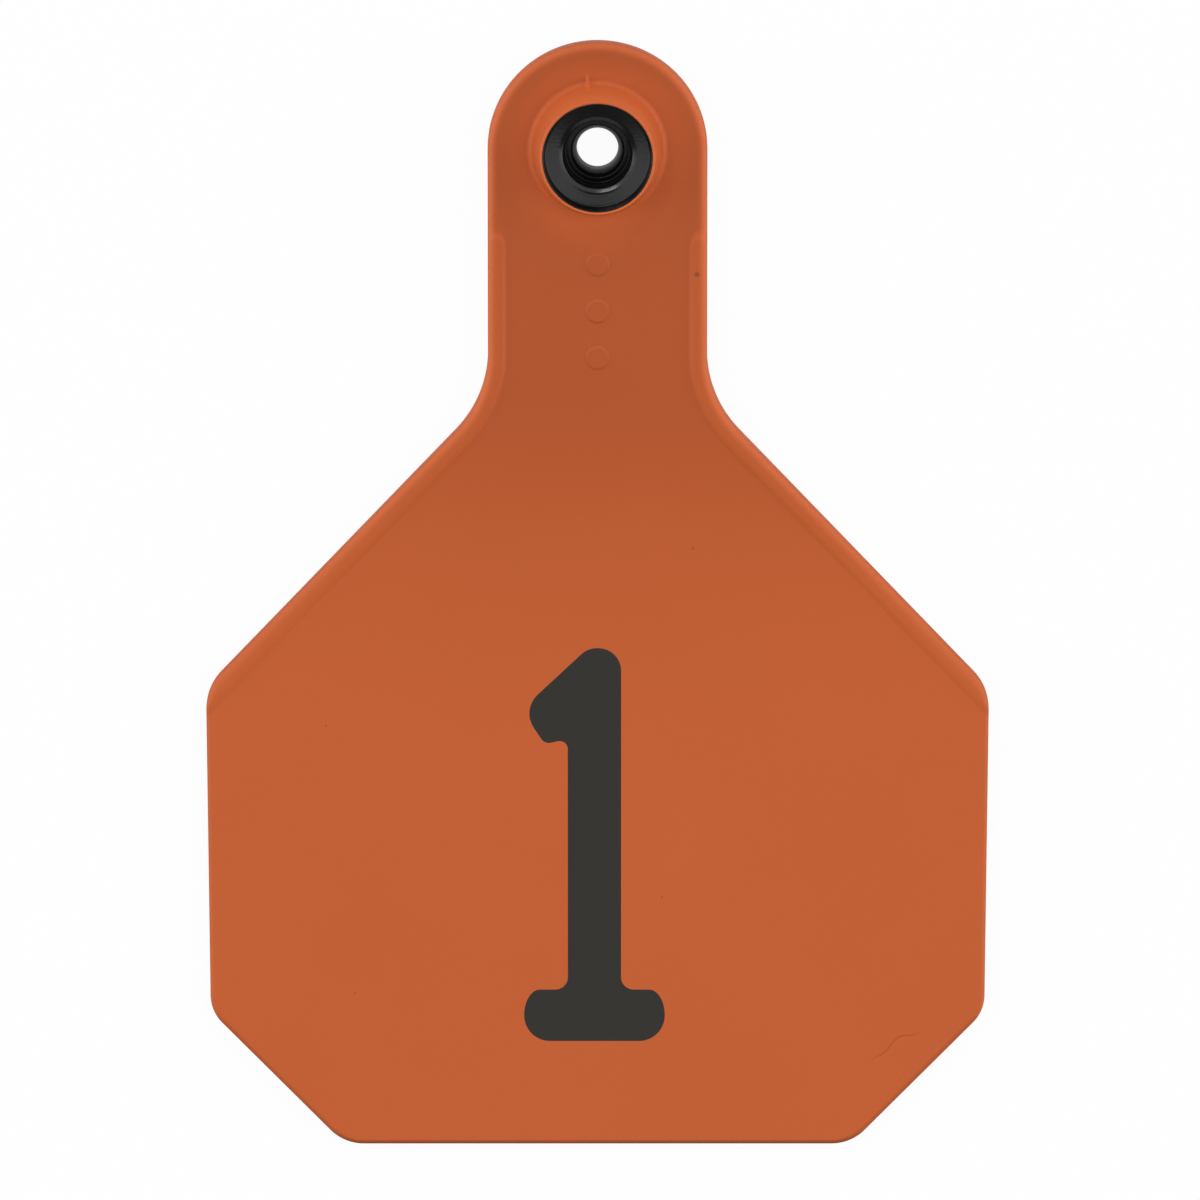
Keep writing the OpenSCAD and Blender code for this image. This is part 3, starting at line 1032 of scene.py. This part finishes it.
def insertProfile():
    # up the outside, over the rim and down the inside to the back, as (radius, height, share of dull painted
    # shade)
    shape = insertShape
    outerR, rimZ = insertHigh.x, insertHigh.z
    few, some, many = shape["fewSteps"], shape["someSteps"], shape["manySteps"]
    profile = []

    def arc(*values):
        profile.extend(arcSpots(*values))

    def line(end, steps):
        start = Vector(profile[-1])
        profile.extend(tuple(start.lerp(Vector(end), k / steps)) for k in range(1, steps))

    profile.append((studHoleR + shape["backChamfer"], 0))
    arc(shape["noseR"] - shape["noseRound"], shape["noseRound"], shape["noseRound"], -90, 0, few)
    profile.append((shape["noseR"], floorZ))
    profile.append((outerR, floorZ))
    small, rimDraft = shape["rimRound"], shape["rimDraft"]
    innerR = outerR - shape["rimT"]
    arc(outerR - small, rimZ - small, small, 0, 90, few)
    arc(innerR + small, rimZ - small, small, 90, 180 - rimDraft, few)
    # the face touches the rounding of its outer corner, and the bevel starts where the face ends
    lean, slope = math.radians(rimDraft), math.radians(shape["dish"])
    bevel = math.radians(shape["mouthBevel"])
    cornerR, edgeR = shape["faceCornerR"], shape["mouthEdgeR"]
    cornerZ = rimZ - shape["faceDepth"] + cornerR
    cornerX = innerR - (rimZ - cornerZ) * math.tan(lean) - cornerR / math.cos(lean)
    rimStart = len(profile)
    line((cornerX + cornerR * math.cos(lean), cornerZ - cornerR * math.sin(lean)), few)
    arc(cornerX, cornerZ, cornerR, -rimDraft, shape["dish"] - 90, some)
    rimEnd = len(profile) - some // 2  # the rounding's inner half belongs to the face
    edgeX = shape["mouthR"] + edgeR
    bevelX = edgeX - edgeR * math.sin(bevel) + shape["mouthChamfer"] * math.cos(bevel)
    faceEnd = Vector((bevelX, profile[-1][1] - (profile[-1][0] - bevelX) * math.tan(slope)))
    line(faceEnd, many)
    profile.append(tuple(faceEnd))
    bevelEnd = faceEnd - shape["mouthChamfer"] * unit(bevel)
    line(bevelEnd, shape["bevelSteps"])
    edgeZ = bevelEnd.y - edgeR * math.cos(bevel)
    arc(edgeX, edgeZ, edgeR, 90 + shape["mouthBevel"], 180, some)
    wallStart = len(profile)
    ledgeZ = faceEnd.y - shape["mouthDepth"]
    soft = shape["stepRound"]
    arc(shape["mouthR"] - soft, ledgeZ + soft, soft, 0, -90, few)
    stepR = shape["mouthR"] - shape["step"]
    arc(stepR + soft, ledgeZ - soft, soft, 90, 180, few)
    # the well's wall, its floor and the rounded entry to the stud hole
    turn, sink = math.radians(shape["flareTurn"]), math.radians(shape["floorFall"])
    flareR, lip, soft = shape["flareR"], shape["flareLip"], shape["wellCornerR"]
    lipX = studHoleR + flareR - (flareR - lip) * math.cos(turn)
    lipZ = studHoleLen + (flareR - lip) * math.sin(turn)
    wellZ = lipZ + (lip + soft) / math.cos(sink) - (stepR - soft - lipX) * math.tan(sink)
    line((stepR, wellZ), some)
    floorStart = len(profile)
    arc(stepR - soft, wellZ, soft, 0, -90 - shape["floorFall"], shape["lipSteps"])
    line((lipX + lip * math.sin(sink), lipZ + lip * math.cos(sink)), some)
    arc(lipX, lipZ, lip, 90 - shape["floorFall"], 180 - shape["flareTurn"], shape["lipSteps"])
    profile.pop()
    floorEnd = len(profile)
    arc(studHoleR + flareR, studHoleLen, flareR, 180 - shape["flareTurn"], 180, shape["flareSteps"])
    profile.append((studHoleR, shape["backChamfer"]))
    rows = []
    for k, (r, z) in enumerate(profile):
        # the walls in the well and inside the rim, and part of the well's floor, are dulled as painted shade
        onWall = rimStart <= k < rimEnd or wallStart <= k < floorStart
        onFloor = floorStart <= k < floorEnd
        rows.append((r, z, onWall + insertFinish["floorDull"] * onFloor))
    return rows


def buildInsert():
    draft = Draft()
    turns = fullTurn(insertShape["turns"])
    rings = []
    for r, z, dullShade in insertProfile():
        rings.append([draft.add(*(r * unit(turn)), z, dullShade) for turn in turns])
    for first, second in zip(rings, rings[1:] + rings[:1]):
        draft.joinLoops(first, second, clockwise=False)
    insert = draft.toObject("hardInsert")
    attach(insert, "root")
    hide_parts("lock_insert")
    return insert


tag = buildTag()
print("stage 3: tag moulded,", len(tag.data.polygons), "faces")
insert = buildInsert()
print("stage 4: insert turned,", len(insert.data.polygons), "faces")
number = buildNumber()
print("stage 5: number printed,", len(number.data.polygons), "faces")


# the finishes

def newGroup(name, inputs, outputs):
    group = bpy.data.node_groups.new(name, "ShaderNodeTree")
    for label, kind, value in inputs:
        socket = group.interface.new_socket(name=label, in_out="INPUT", socket_type=kind)
        socket.default_value = value
    for label, kind in outputs:
        group.interface.new_socket(name=label, in_out="OUTPUT", socket_type=kind)
    return group, group.nodes.new("NodeGroupInput"), group.nodes.new("NodeGroupOutput")


def mouldGrainGroup():
    # the fine skin that a mould leaves: a height for the bump and a roughness that drifts with it
    group, entry, leave = newGroup(
        "mouldGrain",
        [("Vector", "NodeSocketVector", (0, 0, 0)), ("Grain Scale", "NodeSocketFloat", 6000),
         ("Wave Scale", "NodeSocketFloat", 120), ("Wave Share", "NodeSocketFloat", 0.5),
         ("Roughness", "NodeSocketFloat", 0.45), ("Roughness Spread", "NodeSocketFloat", 0.08),
         ("Drift Scale", "NodeSocketFloat", 260)],
        [("Height", "NodeSocketFloat"), ("Roughness", "NodeSocketFloat")])
    fine = noiseNode(group, entry.outputs["Vector"], entry.outputs["Grain Scale"], detail=3)
    wave = noiseNode(group, entry.outputs["Vector"], entry.outputs["Wave Scale"], detail=2)
    share = mathNode(group, "MULTIPLY", wave, entry.outputs["Wave Share"])
    height = mathNode(group, "ADD", fine, share)
    group.links.new(height, leave.inputs["Height"])
    cloud = noiseNode(group, entry.outputs["Vector"], entry.outputs["Drift Scale"], detail=4)
    around = mathNode(group, "SUBTRACT", cloud, 0.5)
    spread, middle = entry.outputs["Roughness Spread"], entry.outputs["Roughness"]
    group.links.new(mathNode(group, "MULTIPLY_ADD", around, spread, middle), leave.inputs["Roughness"])
    return group


def colourDriftGroup():
    # a slow, slight change of brightness over a moulded or printed surface
    group, entry, leave = newGroup(
        "colourDrift",
        [("Vector", "NodeSocketVector", (0, 0, 0)), ("Color", "NodeSocketColor", (0.5, 0.5, 0.5, 1)),
         ("Scale", "NodeSocketFloat", 60), ("Amount", "NodeSocketFloat", 0.03)],
        [("Color", "NodeSocketColor")])
    cloud = noiseNode(group, entry.outputs["Vector"], entry.outputs["Scale"], detail=4, roughness=0.6)
    around = mathNode(group, "SUBTRACT", cloud, 0.5)
    factor = mathNode(group, "MULTIPLY_ADD", around, entry.outputs["Amount"], 1)
    scaled = group.nodes.new("ShaderNodeVectorMath")
    scaled.operation = "SCALE"
    group.links.new(entry.outputs["Color"], scaled.inputs[0])
    group.links.new(factor, scaled.inputs["Scale"])
    group.links.new(scaled.outputs[0], leave.inputs["Color"])
    return group


mouldGrain = mouldGrainGroup()
colourDrift = colourDriftGroup()

tagFinish = {
    "thin": (195, 94, 47),    # the panel's orange
    "thick": (178, 84, 41),   # the neck's deeper orange, also carrying painted shade
    "roughness": 0.5,
    "roughnessSpread": 0.1,
    "specular": 0.2,
    "grainScale": 5200,
    "grainBump": 0.012,
    "driftScale": 55,
    "drift": 0.05,
    # each speck's place, radius and strength
    "specks": [(9.6, -12.2, 0.28, 0.6), (9.26, -39.55, 0.14, 0.45), (6.3, -74.44, 0.14, 0.4),
               (-23.72, -84.13, 0.14, 0.3), (-26.43, -57.27, 0.13, 0.4)],
    "speckColour": (92, 44, 26),
    "speckCore": 0.3,     # share of the radius that is fully dark, and where it has faded out
    "speckFade": 1.3,
    "speckSquash": 0.3,   # heights count this much, so a speck also lies on the raised band
}

inkFinish = {
    "colour": (52, 50, 47),
    "roughness": 0.75,
    "roughnessSpread": 0.1,
    "specular": 0.15,
    "grainScale": 9000,
    "grainBump": 0.03,
    "driftScale": 90,
    "drift": 0.06,
}


def placed(tree, group, values):
    node = tree.nodes.new("ShaderNodeGroup")
    node.node_tree = group
    for label, value in values.items():
        feed(tree, node.inputs[label], value)
    return node


def startMaterial(name, finish):
    material = bpy.data.materials.new(name)
    material.use_nodes = True
    tree = material.node_tree
    shader = tree.nodes["Principled BSDF"]
    shader.inputs["Specular IOR Level"].default_value = finish["specular"]
    where = tree.nodes.new("ShaderNodeTexCoord").outputs["Object"]
    grain = placed(tree, mouldGrain, {
        "Vector": where, "Grain Scale": finish["grainScale"], "Roughness": finish["roughness"],
        "Roughness Spread": finish["roughnessSpread"]})
    tree.links.new(grain.outputs["Roughness"], shader.inputs["Roughness"])
    relief = tree.nodes.new("ShaderNodeBump")
    relief.inputs["Strength"].default_value = 1
    relief.inputs["Distance"].default_value = finish["grainBump"] * mm
    tree.links.new(grain.outputs["Height"], relief.inputs["Height"])
    tree.links.new(relief.outputs["Normal"], shader.inputs["Normal"])
    return material, tree, shader, where


def mixColour(tree, factor, a, b):
    node = tree.nodes.new("ShaderNodeMix")
    node.data_type = "RGBA"
    node.clamp_factor = False
    colours = [socket for socket in node.inputs if socket.type == "RGBA"]
    tree.links.new(factor, node.inputs["Factor"])
    for socket, value in zip(colours, (a, b)):
        feed(tree, socket, value)
    return next(socket for socket in node.outputs if socket.type == "RGBA")


def driftedColour(tree, finish, where, colour):
    values = {"Vector": where, "Color": colour, "Scale": finish["driftScale"], "Amount": finish["drift"]}
    return placed(tree, colourDrift, values).outputs["Color"]


def tagMaterial():
    finish = tagFinish
    material, tree, shader, where = startMaterial("satinPolymer", finish)
    depth = tree.nodes.new("ShaderNodeAttribute")
    depth.attribute_name = "tone"
    colour = mixColour(tree, depth.outputs["Fac"], paint(*finish["thin"]), paint(*finish["thick"]))
    drifted = driftedColour(tree, finish, where, colour)
    squashed = vectorNode(tree, "MULTIPLY", where, (1, 1, finish["speckSquash"]))
    dark = None
    for x, y, r, strength in finish["specks"]:
        spot = (x * mm, y * mm, faceHeight(y) * finish["speckSquash"] * mm)
        gap = vectorNode(tree, "DISTANCE", squashed, spot)
        core, fade = finish["speckCore"] * r * mm, finish["speckFade"] * r * mm
        near = rangeNode(tree, gap, core, fade, strength, 0)
        dark = near if dark is None else mathNode(tree, "MAXIMUM", dark, near)
    final = mixColour(tree, dark, drifted, paint(*finish["speckColour"]))
    tree.links.new(final, shader.inputs["Base Color"])
    return material


def plainMaterial(name, finish):
    material, tree, shader, where = startMaterial(name, finish)
    drifted = driftedColour(tree, finish, where, paint(*finish["colour"]))
    tree.links.new(drifted, shader.inputs["Base Color"])
    return material


def insertMaterial():
    # glossy as moulded, with duller walls in the well and inside the rim, a painted shade that keeps them
    # dark
    finish = insertFinish
    material = plainMaterial("hardBlack", finish)
    tree = material.node_tree
    dullShade = tree.nodes.new("ShaderNodeAttribute")
    dullShade.attribute_name = "tone"
    level = rangeNode(tree, dullShade.outputs["Fac"], 0, 1, finish["specular"], finish["wellSpecular"])
    tree.links.new(level, tree.nodes["Principled BSDF"].inputs["Specular IOR Level"])
    return material


tag.data.materials.append(tagMaterial())
insert.data.materials.append(insertMaterial())
number.data.materials.append(plainMaterial("flatInk", inkFinish))
print("stage 6: finishes placed")
